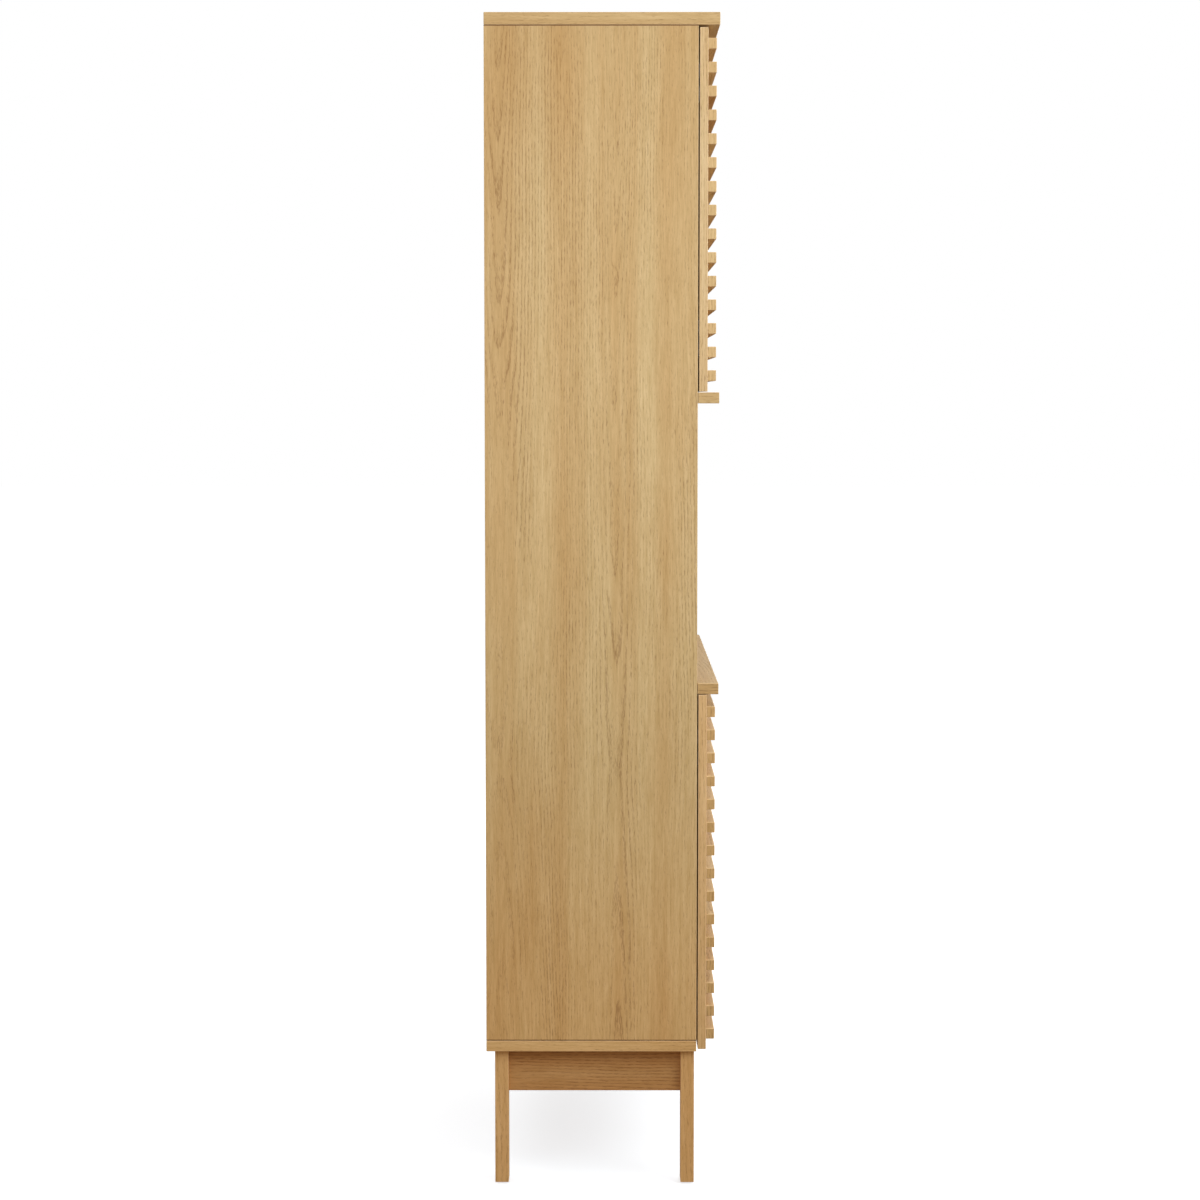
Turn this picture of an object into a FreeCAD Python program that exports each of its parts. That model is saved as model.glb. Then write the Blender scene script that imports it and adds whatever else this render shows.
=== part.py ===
"""A tall pantry cabinet on legs: two pairs of slatted doors with an open niche between them.

Millimetres. +Z is up, the doors face -Y, and the origin is on the floor under the cabinet's middle.
"""

import FreeCAD
import Part
import Sketcher
import os

doc = FreeCAD.newDocument("PantryCabinet")

# ---------------------------------------------------------------- driving dimensions

DIMENSIONS = {
    # the carcass
    "cabinet_width": 800,
    "cabinet_depth": 350,
    "side_depth": 318,
    "side_height": 1522,
    "board": 16.5,
    "top_board": 18.5,
    "edge_round": 0.9,
    "countertop_level": 751,
    "upper_floor_level": 1187,
    "lower_shelf_level": 480,
    "upper_shelf_level": 1466,
    "shelf_setback": 25,
    "shelf_play": 1,
    "nosing_gap": 0.6,
    # the thin backs
    "back_board": 3,
    "back_rebate": 8,
    "back_play": 0.4,
    "nail_radius": 0.75,
    "nail_head_radius": 2,
    "nail_head_height": 0.5,
    "nail_length": 20,
    # the base
    "glide_height": 2.5,
    "glide_foot_radius": 4.5,
    "glide_top_radius": 5.5,
    "glide_stem_radius": 1.2,
    "glide_stem_length": 14,
    "leg_length": 204.5,
    "leg_width": 32,
    "leg_depth": 20.5,
    "leg_inset": 10,
    "front_leg_setback": 35,
    "back_leg_setback": 12.6,
    "rail_height": 65,
    "side_rail_recess": 9,
    "end_rail_recess": 2,
    "leg_bolt_radius": 3.5,
    "leg_bolt_offset": 9,
    "leg_bolt_in_leg": 40,
    "leg_bolt_in_board": 12,
    "bracket_reach": 28,
    "bracket_width": 20,
    "bracket_sheet": 2,
    # knock-down fittings
    "cam_radius": 7.5,
    "cam_depth": 12.5,
    "cam_setback": 34,
    "bolt_radius": 3.5,
    "bolt_in_face": 11,
    "front_cam_row": -60,
    "back_cam_row": 110,
    "dowel_radius": 4,
    "dowel_in_face": 10,
    "dowel_in_edge": 20,
    "front_dowel_row": -20,
    "back_dowel_row": 70,
    "pin_radius": 2.5,
    "pin_in_side": 10,
    "pin_in_room": 8,
    "front_pin_row": -106,
    "back_pin_row": 135,
    "pin_pitch": 32,
    # the doors
    "door_board": 12.5,
    "door_gap": 2,
    "door_side_reveal": 0.5,
    "door_middle_gap": 3,
    "upper_door_foot": 1204.5,
    "upper_door_height": 537.5,
    "lower_door_foot": 210.5,
    "lower_door_height": 539.5,
    "slat_height": 16,
    "slat_depth": 12.5,
    "slat_pitch": 35,
    "slat_margin": 15.9,
    "slat_round": 1,
    # the hinges
    "hinge_from_end": 80,
    "cup_radius": 17.5,
    "cup_depth": 11.5,
    "cup_sheet": 0.8,
    "cup_from_edge": 3,
    "flange_sheet": 1,
    "flange_inner": 19,
    "flange_outer": 17,
    "flange_reach": 28,
    "cup_screw_offset": 9.5,
    "cup_screw_reach": 24,
    "pivot_from_edge": 5.5,
    "pivot_depth": 8,
    "knuckle_outer": 3.3,
    "knuckle_inner": 3,
    "knuckle_half": 7,
    "knuckle_sheet": 0.6,
    "pin_shank_radius": 1.2,
    "running_fit": 0.05,
    "arm_sheet": 2.5,
    "arm_half": 5,
    "arm_eye_radius": 2.4,
    "arm_corner": 16.75,
    "arm_length": 61,
    "plate_length": 44,
    "plate_half": 6,
    "plate_wing": 25,
    "plate_wing_width": 12,
    "plate_setback": 37,
    "plate_screw_reach": 16,
    "arm_screw_row": 20,
    # the catches
    "catch_width": 36,
    "catch_ears": 60,
    "catch_depth": 14,
    "catch_height": 14,
    "catch_ear_sheet": 2.5,
    "catch_from_middle": 50,
    "catch_touch": 0.4,
    "catch_screw_reach": 24,
    "strike_height": 12,
    "strike_sheet": 1,
    "strike_from_top": 3,
    # the small pan-head screws
    "screw_radius": 1.5,
    "screw_length": 9,
    "screw_head_radius": 2.8,
    "screw_head_height": 1.4,
}
SLATS_PER_DOOR = 15
PIN_HOLES_PER_ROW = 7

dim = doc.addObject("Spreadsheet::Sheet", "dim")
for row, (alias, number) in enumerate(DIMENSIONS.items(), 1):
    dim.set(f"A{row}", alias)
    dim.set(f"B{row}", str(number))
    dim.setAlias(f"B{row}", alias)
doc.recompute()

# ---------------------------------------------------------------- levels and planes, as expressions

BASE_TOP = "(dim.glide_height + dim.leg_length)"
SIDE_FOOT = f"({BASE_TOP} + dim.board)"
SIDE_HEAD = f"({SIDE_FOOT} + dim.side_height)"
BACK = "(dim.cabinet_depth / 2)"
FRONT = "(-dim.cabinet_depth / 2)"
SIDE_FRONT = f"({BACK} - dim.side_depth)"
DOOR_BACK = f"({SIDE_FRONT} - dim.door_gap)"
NAIL_FACE = f"({BACK} - dim.nail_head_height)"
BACK_FACE = f"({NAIL_FACE} - dim.back_board)"
INNER_WIDTH = "(dim.cabinet_width - 2 * dim.board)"
SIDES = (("left", "-1"), ("right", "1"))
SIDE_AXIS = "(dim.cabinet_width - dim.board) / 2"
INNER_FACE = f"({INNER_WIDTH} / 2)"
CAM_ROWS = ("dim.front_cam_row", "dim.back_cam_row")
DOWEL_ROWS = ("dim.front_dowel_row", "dim.back_dowel_row")
PIN_ROWS = ("dim.front_pin_row", "dim.back_pin_row")
SHELF_LEVELS = ("dim.lower_shelf_level", "dim.upper_shelf_level")
MIDDLE_LEVELS = ("dim.countertop_level", "dim.upper_floor_level")
ENDS = (("bottom", SIDE_FOOT, "-Z", "1"), ("top", SIDE_HEAD, "+Z", "-1"))

AXES = {
    "+X": FreeCAD.Vector(1, 0, 0),
    "-X": FreeCAD.Vector(-1, 0, 0),
    "+Y": FreeCAD.Vector(0, 1, 0),
    "-Y": FreeCAD.Vector(0, -1, 0),
    "+Z": FreeCAD.Vector(0, 0, 1),
    "-Z": FreeCAD.Vector(0, 0, -1),
}
PLANES = {"X": "YZ_Plane", "Y": "XZ_Plane", "Z": "XY_Plane"}

sub_parts = []
origins = {}


# ---------------------------------------------------------------- helpers


def value(expression):
    """The number that an expression of the sheet's cells gives now."""
    return float(dim.evalExpression(expression))


def place(item, x, y, z):
    """Binds the object's position to three expressions."""
    for axis, expression in zip("xyz", (x, y, z)):
        item.setExpression(f"Placement.Base.{axis}", expression)


def shifted(at, direction, distance):
    """The position `at`, moved by the expression `distance` along a direction such as +X."""
    sign, axis = direction
    return tuple(
        f"({old}) {sign} ({distance})" if name == axis else old
        for name, old in zip("XYZ", at)
    )


def keep(item, label):
    """Makes the object a sub-part, named by its label."""
    item.Label = label
    sub_parts.append(item)
    return item


def board_body(label, corner):
    """An empty body whose origin is the board's lowest corner."""
    body = doc.addObject("PartDesign::Body", label)
    place(body, *corner)
    origins[body.Name] = corner
    return keep(body, label)


def sketch_in(body, name, direction, level):
    """A sketch across the direction's axis, at `level` along it, in the body's own frame."""
    axis = direction[1]
    sketch = body.newObject("Sketcher::SketchObject", name)
    plane = [p for p in body.Origin.OriginFeatures if p.Role == PLANES[axis]][0]
    sketch.AttachmentSupport = [(plane, "")]
    sketch.MapMode = "FlatFace"
    origin = origins[body.Name]["XYZ".index(axis)]
    normal = "-" if axis == "Y" else ""
    sketch.setExpression("AttachmentOffset.Base.z", f"{normal}(({level}) - ({origin}))")
    return sketch


def in_plane(body, direction, spots):
    """The spots, given in the cabinet's frame, as expressions in the body's own sketch plane."""
    origin = [o for name, o in zip("XYZ", origins[body.Name]) if name != direction[1]]
    return [tuple(f"({c}) - ({o})" for c, o in zip(spot, origin)) for spot in spots]


def constrain(sketch, kind, *geometry, expression):
    """A dimension bound to an expression."""
    number = sketch.addConstraint(Sketcher.Constraint(kind, *geometry, value(expression)))
    sketch.setExpression(f"Constraints[{number}]", expression)


def draw_outline(sketch, points):
    """A closed outline of straight lines through the points."""
    corners = [FreeCAD.Vector(value(u), value(v), 0) for u, v in points]
    count = len(corners)
    for i in range(count):
        sketch.addGeometry(Part.LineSegment(corners[i], corners[(i + 1) % count]), False)
    for i in range(count):
        sketch.addConstraint(Sketcher.Constraint("Coincident", i, 2, (i + 1) % count, 1))
    for i, (u, v) in enumerate(points):
        constrain(sketch, "DistanceX", i, 1, expression=u)
        constrain(sketch, "DistanceY", i, 1, expression=v)


def draw_circles(sketch, centres, radius):
    """A circle of the same radius at each centre."""
    for i, (u, v) in enumerate(centres):
        centre = FreeCAD.Vector(value(u), value(v), 0)
        circle = Part.Circle(centre, FreeCAD.Vector(0, 0, 1), value(radius))
        sketch.addGeometry(circle, False)
        constrain(sketch, "DistanceX", i, 3, expression=u)
        constrain(sketch, "DistanceY", i, 3, expression=v)
        constrain(sketch, "Radius", i, expression=radius)


def rectangle(u, v, width, height):
    """The four corners of a rectangle from its lowest corner."""
    right, top = f"({u}) + ({width})", f"({v}) + ({height})"
    return [(u, v), (right, v), (right, top), (u, top)]


def pad(body, direction, level, points, length, rounding=None):
    """Pads an outline from `level` along the direction, and rounds every edge if asked to."""
    sketch = sketch_in(body, f"{body.Name}_outline", direction, level)
    draw_outline(sketch, in_plane(body, direction, points))
    block = body.newObject("PartDesign::Pad", f"{body.Name}_pad")
    block.Profile = sketch
    block.Reversed = (direction[0] == "-") != (direction[1] == "Y")
    block.setExpression("Length", length)
    if rounding:
        doc.recompute()
        soft = body.newObject("PartDesign::Fillet", f"{body.Name}_rounding")
        soft.Base = (block, [f"Edge{i + 1}" for i in range(len(block.Shape.Edges))])
        soft.setExpression("Radius", rounding)
    return block


def pocket(body, name, direction, level, depth, circles=None, points=None, radius=None):
    """Cuts circles or an outline from `level`, drilling along the direction."""
    sketch = sketch_in(body, f"{body.Name}_{name}_sketch", direction, level)
    if points:
        draw_outline(sketch, in_plane(body, direction, points))
    else:
        draw_circles(sketch, in_plane(body, direction, circles), radius)
    bore = body.newObject("PartDesign::Pocket", f"{body.Name}_{name}")
    bore.Profile = sketch
    bore.Reversed = (direction[0] == "+") != (direction[1] == "Y")
    bore.setExpression("Length", depth)
    return bore


def box_board(label, corner, size, rounding="dim.edge_round"):
    """A rectangular board, drawn across its thinnest side and padded."""
    body = board_body(label, corner)
    thin = min(range(3), key=lambda i: value(size[i]))
    first, second = [i for i in range(3) if i != thin]
    points = rectangle(corner[first], corner[second], size[first], size[second])
    pad(body, "+" + "XYZ"[thin], corner[thin], points, size[thin], rounding)
    return body


def cylinder(name, at, direction, radius, height):
    """A cylinder that starts at a point and runs along the direction."""
    rod = doc.addObject("Part::Cylinder", name)
    rod.Placement = FreeCAD.Placement(
        FreeCAD.Vector(), FreeCAD.Rotation(AXES["+Z"], AXES[direction])
    )
    place(rod, *at)
    rod.setExpression("Radius", radius)
    rod.setExpression("Height", height)
    return rod


def box(name, corner, size):
    """A box from its lowest corner."""
    block = doc.addObject("Part::Box", name)
    place(block, *corner)
    for side, expression in zip(("Length", "Width", "Height"), size):
        block.setExpression(side, expression)
    return block


def fuse(name, members):
    """The union of the members."""
    union = doc.addObject("Part::MultiFuse", name)
    union.Shapes = members
    return union


def cut(name, base, tool):
    """The base without the tool."""
    rest = doc.addObject("Part::Cut", name)
    rest.Base = base
    rest.Tool = tool
    return rest


def group(label, members):
    """Like pieces that share one node, each a separate solid."""
    bundle = doc.addObject("Part::Compound", label)
    bundle.Links = members
    return keep(bundle, label)


def screw(name, at, direction, length="dim.screw_length"):
    """A pan-head screw whose head sits on the surface point `at`."""
    back = {"+": "-", "-": "+"}[direction[0]] + direction[1]
    head = cylinder(f"{name}_head", at, back, "dim.screw_head_radius", "dim.screw_head_height")
    shank = cylinder(f"{name}_shank", at, direction, "dim.screw_radius", length)
    return fuse(name, [head, shank])


def across(sign, distance):
    """A place along X, on the left for sign -1 and on the right for sign 1."""
    return f"{sign} * ({distance})"


# ---------------------------------------------------------------- where the doors and hinges are

DOORS = []
for level in ("upper", "lower"):
    for hand, sign in SIDES:
        DOORS.append((level, hand, sign))

DOOR_WIDTH = "(dim.cabinet_width / 2 - dim.door_side_reveal - dim.door_middle_gap / 2)"
DOOR_EDGE = "(dim.cabinet_width / 2 - dim.door_side_reveal)"
PIVOT_X = f"({DOOR_EDGE} - dim.pivot_from_edge)"
PIVOT_Y = f"({DOOR_BACK} - dim.pivot_depth)"
CUP_X = f"({DOOR_EDGE} - dim.cup_from_edge - dim.cup_radius)"
PLATE_ROW = f"({SIDE_FRONT} + dim.plate_setback)"
ARM_BACK_X = f"({PIVOT_X} - dim.arm_corner)"
ARM_FACE_X = f"({ARM_BACK_X} + dim.arm_sheet)"
ARM_SCREW_Y = f"({PLATE_ROW} - dim.arm_screw_row)"


def hinge_levels(level):
    """The heights of the two hinges of a door."""
    foot = f"dim.{level}_door_foot"
    return (
        f"({foot} + dim.hinge_from_end)",
        f"({foot} + dim.{level}_door_height - dim.hinge_from_end)",
    )


HINGE_LEVELS = hinge_levels("lower") + hinge_levels("upper")
PLATE_SCREW_LEVELS = [
    f"{z} {way} dim.plate_screw_reach" for z in HINGE_LEVELS for way in ("-", "+")
]

# ---------------------------------------------------------------- the nails of the thin backs

SEAMS = [f"({z} + dim.board / 2)" for z in MIDDLE_LEVELS]
BACK_PANELS = (
    ("lower", SIDE_FOOT, SEAMS[0]),
    ("niche", SEAMS[0], SEAMS[1]),
    ("upper", SEAMS[1], SIDE_HEAD),
)
NAILS_PER_EDGE = 4
edge_nail_levels = []
for name, foot, head in BACK_PANELS:
    for i in range(NAILS_PER_EDGE):
        share = (i + 0.5) / NAILS_PER_EDGE
        edge_nail_levels.append(f"({foot} + ({head} - {foot}) * {share})")
seam_nails = [
    (f"{x} * dim.cabinet_width / 4", f"({seam} {way} dim.board / 4)")
    for seam in SEAMS
    for x in (-1, 0, 1)
    for way in ("-", "+")
]
EDGE_NAIL_X = f"({INNER_FACE} + dim.back_rebate / 2)"

# ---------------------------------------------------------------- side panels

pin_levels = []
for shelf in SHELF_LEVELS:
    for i in range(PIN_HOLES_PER_ROW):
        step = i - PIN_HOLES_PER_ROW // 2
        pin_levels.append(f"({shelf} - dim.pin_radius + {step} * dim.pin_pitch)")

for hand, sign in SIDES:
    outward = "-X" if hand == "left" else "+X"
    low_x = "-dim.cabinet_width / 2" if hand == "left" else INNER_FACE
    inner = across(sign, INNER_FACE)
    axis = across(sign, SIDE_AXIS)
    side = box_board(
        f"side_panel_{hand}",
        (low_x, SIDE_FRONT, SIDE_FOOT),
        ("dim.board", "dim.side_depth", "dim.side_height"),
    )
    rebate_x = across("-1", f"{INNER_FACE} + dim.back_rebate") if hand == "left" else INNER_FACE
    rebate = rectangle(rebate_x, BACK_FACE, "dim.back_rebate", f"{BACK} - {BACK_FACE}")
    pocket(side, "rebate", "+Z", SIDE_FOOT, "dim.side_height", points=rebate)
    middles = [f"{z} + dim.board / 2" for z in MIDDLE_LEVELS]
    cam_levels = [f"{z} + {way} * dim.cam_setback" for _, z, _, way in ENDS]
    for bore, rows, levels, depth, radius in (
        ("pin_holes", PIN_ROWS, pin_levels, "dim.pin_in_side", "dim.pin_radius"),
        ("bolt_holes", CAM_ROWS, middles, "dim.bolt_in_face", "dim.bolt_radius"),
        ("dowel_holes", DOWEL_ROWS, middles, "dim.dowel_in_face", "dim.dowel_radius"),
        ("cam_holes", CAM_ROWS, cam_levels, "dim.cam_depth", "dim.cam_radius"),
        ("screw_holes", [PLATE_ROW], PLATE_SCREW_LEVELS, "dim.screw_length", "dim.screw_radius"),
    ):
        spots = [(row, z) for row in rows for z in levels]
        pocket(side, bore, outward, inner, depth, spots, radius=radius)
    for end, z, _, _ in ENDS:
        drill = {"bottom": "+Z", "top": "-Z"}[end]
        bolts = [(axis, row) for row in CAM_ROWS]
        pocket(side, f"{end}_bolts", drill, z, "dim.cam_setback", bolts, radius="dim.bolt_radius")
        dowels = [(axis, row) for row in DOWEL_ROWS]
        pocket(side, f"{end}_dowels", drill, z, "dim.dowel_in_edge", dowels, radius="dim.dowel_radius")
    nail_spots = [(across(sign, EDGE_NAIL_X), z) for z in edge_nail_levels]
    pocket(side, "nail_holes", "-Y", BACK_FACE, "dim.nail_length", nail_spots, radius="dim.nail_radius")

# ---------------------------------------------------------------- top and bottom panels

side_rows = [(across(sign, SIDE_AXIS), row) for _, sign in SIDES for row in CAM_ROWS]
dowel_rows = [(across(sign, SIDE_AXIS), row) for _, sign in SIDES for row in DOWEL_ROWS]
CATCH_Y = f"({DOOR_BACK} + dim.strike_sheet + dim.catch_touch)"
CATCH_MIDDLE_Y = f"({CATCH_Y} + dim.catch_depth / 2)"
catch_screws = [
    (f"{sign} * dim.catch_from_middle {way} dim.catch_screw_reach", CATCH_MIDDLE_Y)
    for _, sign in SIDES
    for way in ("-", "+")
]

top = box_board(
    "top_panel",
    ("-dim.cabinet_width / 2", FRONT, SIDE_HEAD),
    ("dim.cabinet_width", "dim.cabinet_depth", "dim.top_board"),
)
for bore, spots, depth, radius in (
    ("bolt_holes", side_rows, "dim.bolt_in_face", "dim.bolt_radius"),
    ("dowel_holes", dowel_rows, "dim.dowel_in_face", "dim.dowel_radius"),
    ("catch_holes", catch_screws, "dim.screw_length", "dim.screw_radius"),
):
    pocket(top, bore, "+Z", SIDE_HEAD, depth, spots, radius=radius)

LEG_X = "(dim.cabinet_width / 2 - dim.leg_inset - dim.leg_width / 2)"
LEG_ROWS = (
    ("front", f"({FRONT} + dim.front_leg_setback + dim.leg_depth / 2)"),
    ("back", f"({BACK} - dim.back_leg_setback - dim.leg_depth / 2)"),
)
LEG_BOLT_X = f"({LEG_X} + dim.leg_bolt_offset)"
leg_spots = [(across(sign, LEG_BOLT_X), y) for _, y in LEG_ROWS for _, sign in SIDES]
SIDE_RAIL_X = "(dim.cabinet_width / 2 - dim.leg_inset - dim.side_rail_recess)"
FRONT_RAIL_Y = f"({FRONT} + dim.front_leg_setback + dim.end_rail_recess)"
BACK_RAIL_Y = f"({BACK} - dim.back_leg_setback - dim.end_rail_recess)"
BRACKET_MIDDLE = "(dim.bracket_sheet + dim.bracket_reach) / 2"
# each bracket: the inner face of its rail, the middle of its width, and the way it reaches
BRACKETS = []
for _, sign in SIDES:
    face = across(sign, f"{SIDE_RAIL_X} - dim.board")
    BRACKETS.append((face, "0", "+X" if sign == "-1" else "-X"))
    spot = f"{sign} * dim.cabinet_width / 4"
    BRACKETS.append((spot, f"{FRONT_RAIL_Y} + dim.board", "+Y"))
    BRACKETS.append((spot, f"{BACK_RAIL_Y} - dim.board", "-Y"))
bracket_floor_spots = [shifted((x, y, "0"), way, BRACKET_MIDDLE)[:2] for x, y, way in BRACKETS]

bottom = box_board(
    "bottom_panel",
    ("-dim.cabinet_width / 2", SIDE_FRONT, BASE_TOP),
    ("dim.cabinet_width", "dim.side_depth", "dim.board"),
)
for bore, drill, plane, spots, depth, radius in (
    ("bolt_holes", "-Z", SIDE_FOOT, side_rows, "dim.bolt_in_face", "dim.bolt_radius"),
    ("dowel_holes", "-Z", SIDE_FOOT, dowel_rows, "dim.dowel_in_face", "dim.dowel_radius"),
    ("leg_holes", "+Z", BASE_TOP, leg_spots, "dim.leg_bolt_in_board", "dim.leg_bolt_radius"),
    ("screw_holes", "+Z", BASE_TOP, bracket_floor_spots, "dim.screw_length", "dim.screw_radius"),
):
    pocket(bottom, bore, drill, plane, depth, spots, radius=radius)

# ---------------------------------------------------------------- countertop and upper floor

NOSING_BACK = f"({SIDE_FRONT} - dim.nosing_gap)"
for label, level in zip(("countertop", "upper_cabinet_floor"), MIDDLE_LEVELS):
    outline = [
        ("-dim.cabinet_width / 2", FRONT),
        ("dim.cabinet_width / 2", FRONT),
        ("dim.cabinet_width / 2", NOSING_BACK),
        (INNER_FACE, NOSING_BACK),
        (INNER_FACE, BACK_FACE),
        (f"-{INNER_FACE}", BACK_FACE),
        (f"-{INNER_FACE}", NOSING_BACK),
        ("-dim.cabinet_width / 2", NOSING_BACK),
    ]
    shelf = board_body(label, ("-dim.cabinet_width / 2", FRONT, level))
    pad(shelf, "+Z", level, outline, "dim.board", "dim.edge_round")
    cams = [
        (across(sign, f"{INNER_FACE} - dim.cam_setback"), row) for _, sign in SIDES for row in CAM_ROWS
    ]
    pocket(shelf, "cam_holes", "+Z", level, "dim.cam_depth", cams, radius="dim.cam_radius")
    middle = f"({level} + dim.board / 2)"
    for hand, sign in SIDES:
        drill = "+X" if hand == "left" else "-X"
        end = across(sign, INNER_FACE)
        for bore, rows, depth, radius in (
            ("bolts", CAM_ROWS, "dim.cam_setback", "dim.bolt_radius"),
            ("dowels", DOWEL_ROWS, "dim.dowel_in_edge", "dim.dowel_radius"),
        ):
            spots = [(row, middle) for row in rows]
            pocket(shelf, f"{hand}_{bore}", drill, end, depth, spots, radius=radius)
    nails = [(x, z) for x, z in seam_nails if abs(value(z) - value(middle)) < value("dim.board")]
    pocket(shelf, "nail_holes", "-Y", BACK_FACE, "dim.nail_length", nails, radius="dim.nail_radius")
    if label == "countertop":
        depth, radius = "dim.screw_length", "dim.screw_radius"
        pocket(shelf, "catch_holes", "+Z", level, depth, catch_screws, radius=radius)

# ---------------------------------------------------------------- thin backs, with their nails

BACK_WIDTH = f"({INNER_WIDTH} + 2 * dim.back_rebate - 2 * dim.back_play)"
for name, foot, head in BACK_PANELS:
    panel = box_board(
        f"{name}_back_panel",
        (f"-{BACK_WIDTH} / 2", BACK_FACE, f"({foot} + dim.back_play / 2)"),
        (BACK_WIDTH, "dim.back_board", f"({head} - {foot} - dim.back_play)"),
        rounding=None,
    )
    spots = [(across(sign, EDGE_NAIL_X), z) for _, sign in SIDES for z in edge_nail_levels]
    spots += seam_nails
    low, high = value(foot), value(head)
    spots = [spot for spot in spots if low < value(spot[1]) < high]
    pocket(panel, "nail_holes", "-Y", NAIL_FACE, "dim.back_board", spots, radius="dim.nail_radius")

nails = []
nail_spots = [(across(sign, EDGE_NAIL_X), z) for _, sign in SIDES for z in edge_nail_levels]
for i, (x, z) in enumerate(nail_spots + seam_nails):
    at = (x, NAIL_FACE, z)
    head = cylinder(f"nail_{i}_head", at, "+Y", "dim.nail_head_radius", "dim.nail_head_height")
    length = "dim.nail_length + dim.back_board"
    shank = cylinder(f"nail_{i}_shank", at, "-Y", "dim.nail_radius", length)
    nails.append(fuse(f"nail_{i}", [head, shank]))
group("back_panel_nails", nails)

# ---------------------------------------------------------------- shelves and their pins

SHELF_WIDTH = f"({INNER_WIDTH} - 2 * dim.shelf_play)"
SHELF_FRONT = f"({SIDE_FRONT} + dim.shelf_setback)"
for name, level in zip(("lower", "upper"), SHELF_LEVELS):
    box_board(
        f"{name}_shelf",
        (f"-{SHELF_WIDTH} / 2", SHELF_FRONT, level),
        (SHELF_WIDTH, f"({BACK_FACE} - {SHELF_FRONT} - dim.shelf_play)", "dim.board"),
    )

pins = []
for level in SHELF_LEVELS:
    for hand, sign in SIDES:
        for row in PIN_ROWS:
            low_x = {
                "left": f"-{INNER_FACE} - dim.pin_in_side",
                "right": f"{INNER_FACE} - dim.pin_in_room",
            }[hand]
            at = (low_x, row, f"{level} - dim.pin_radius")
            length = "dim.pin_in_side + dim.pin_in_room"
            pins.append(cylinder(f"pin_{len(pins)}", at, "+X", "dim.pin_radius", length))
group("shelf_pins", pins)

# ---------------------------------------------------------------- cam locks, cam bolts and dowels

cams, bolts, dowels = [], [], []


def cam_joint(face, drill, reach):
    """A cam in the board's face, and the bolt that it pulls, which runs along `reach`."""
    number = len(cams)
    drum = cylinder(f"cam_{number}_drum", face, drill, "dim.cam_radius", "dim.cam_depth")
    centre = shifted(face, drill, "dim.board / 2")
    slot = cylinder(f"cam_{number}_slot", centre, reach, "dim.bolt_radius", "dim.cam_radius + 1")
    cams.append(cut(f"cam_{number}", drum, slot))
    length = "dim.cam_setback + dim.bolt_in_face"
    bolts.append(cylinder(f"bolt_{number}", centre, reach, "dim.bolt_radius", length))


def dowel(at, reach):
    """A dowel through the joint at `at`, with its longer part in the board's edge."""
    start = shifted(at, reach, "-dim.dowel_in_edge")
    length = "dim.dowel_in_edge + dim.dowel_in_face"
    dowels.append(cylinder(f"dowel_{len(dowels)}", start, reach, "dim.dowel_radius", length))


for hand, sign in SIDES:
    outward = "-X" if hand == "left" else "+X"
    for level in MIDDLE_LEVELS:
        for row in CAM_ROWS:
            face = (across(sign, f"{INNER_FACE} - dim.cam_setback"), row, level)
            cam_joint(face, "+Z", outward)
        for row in DOWEL_ROWS:
            dowel((across(sign, INNER_FACE), row, f"{level} + dim.board / 2"), outward)
    for _, z, reach, way in ENDS:
        for row in CAM_ROWS:
            face = (across(sign, INNER_FACE), row, f"{z} + {way} * dim.cam_setback")
            cam_joint(face, outward, reach)
        for row in DOWEL_ROWS:
            dowel((across(sign, SIDE_AXIS), row, z), reach)

# ---------------------------------------------------------------- legs, glides and rails

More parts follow.
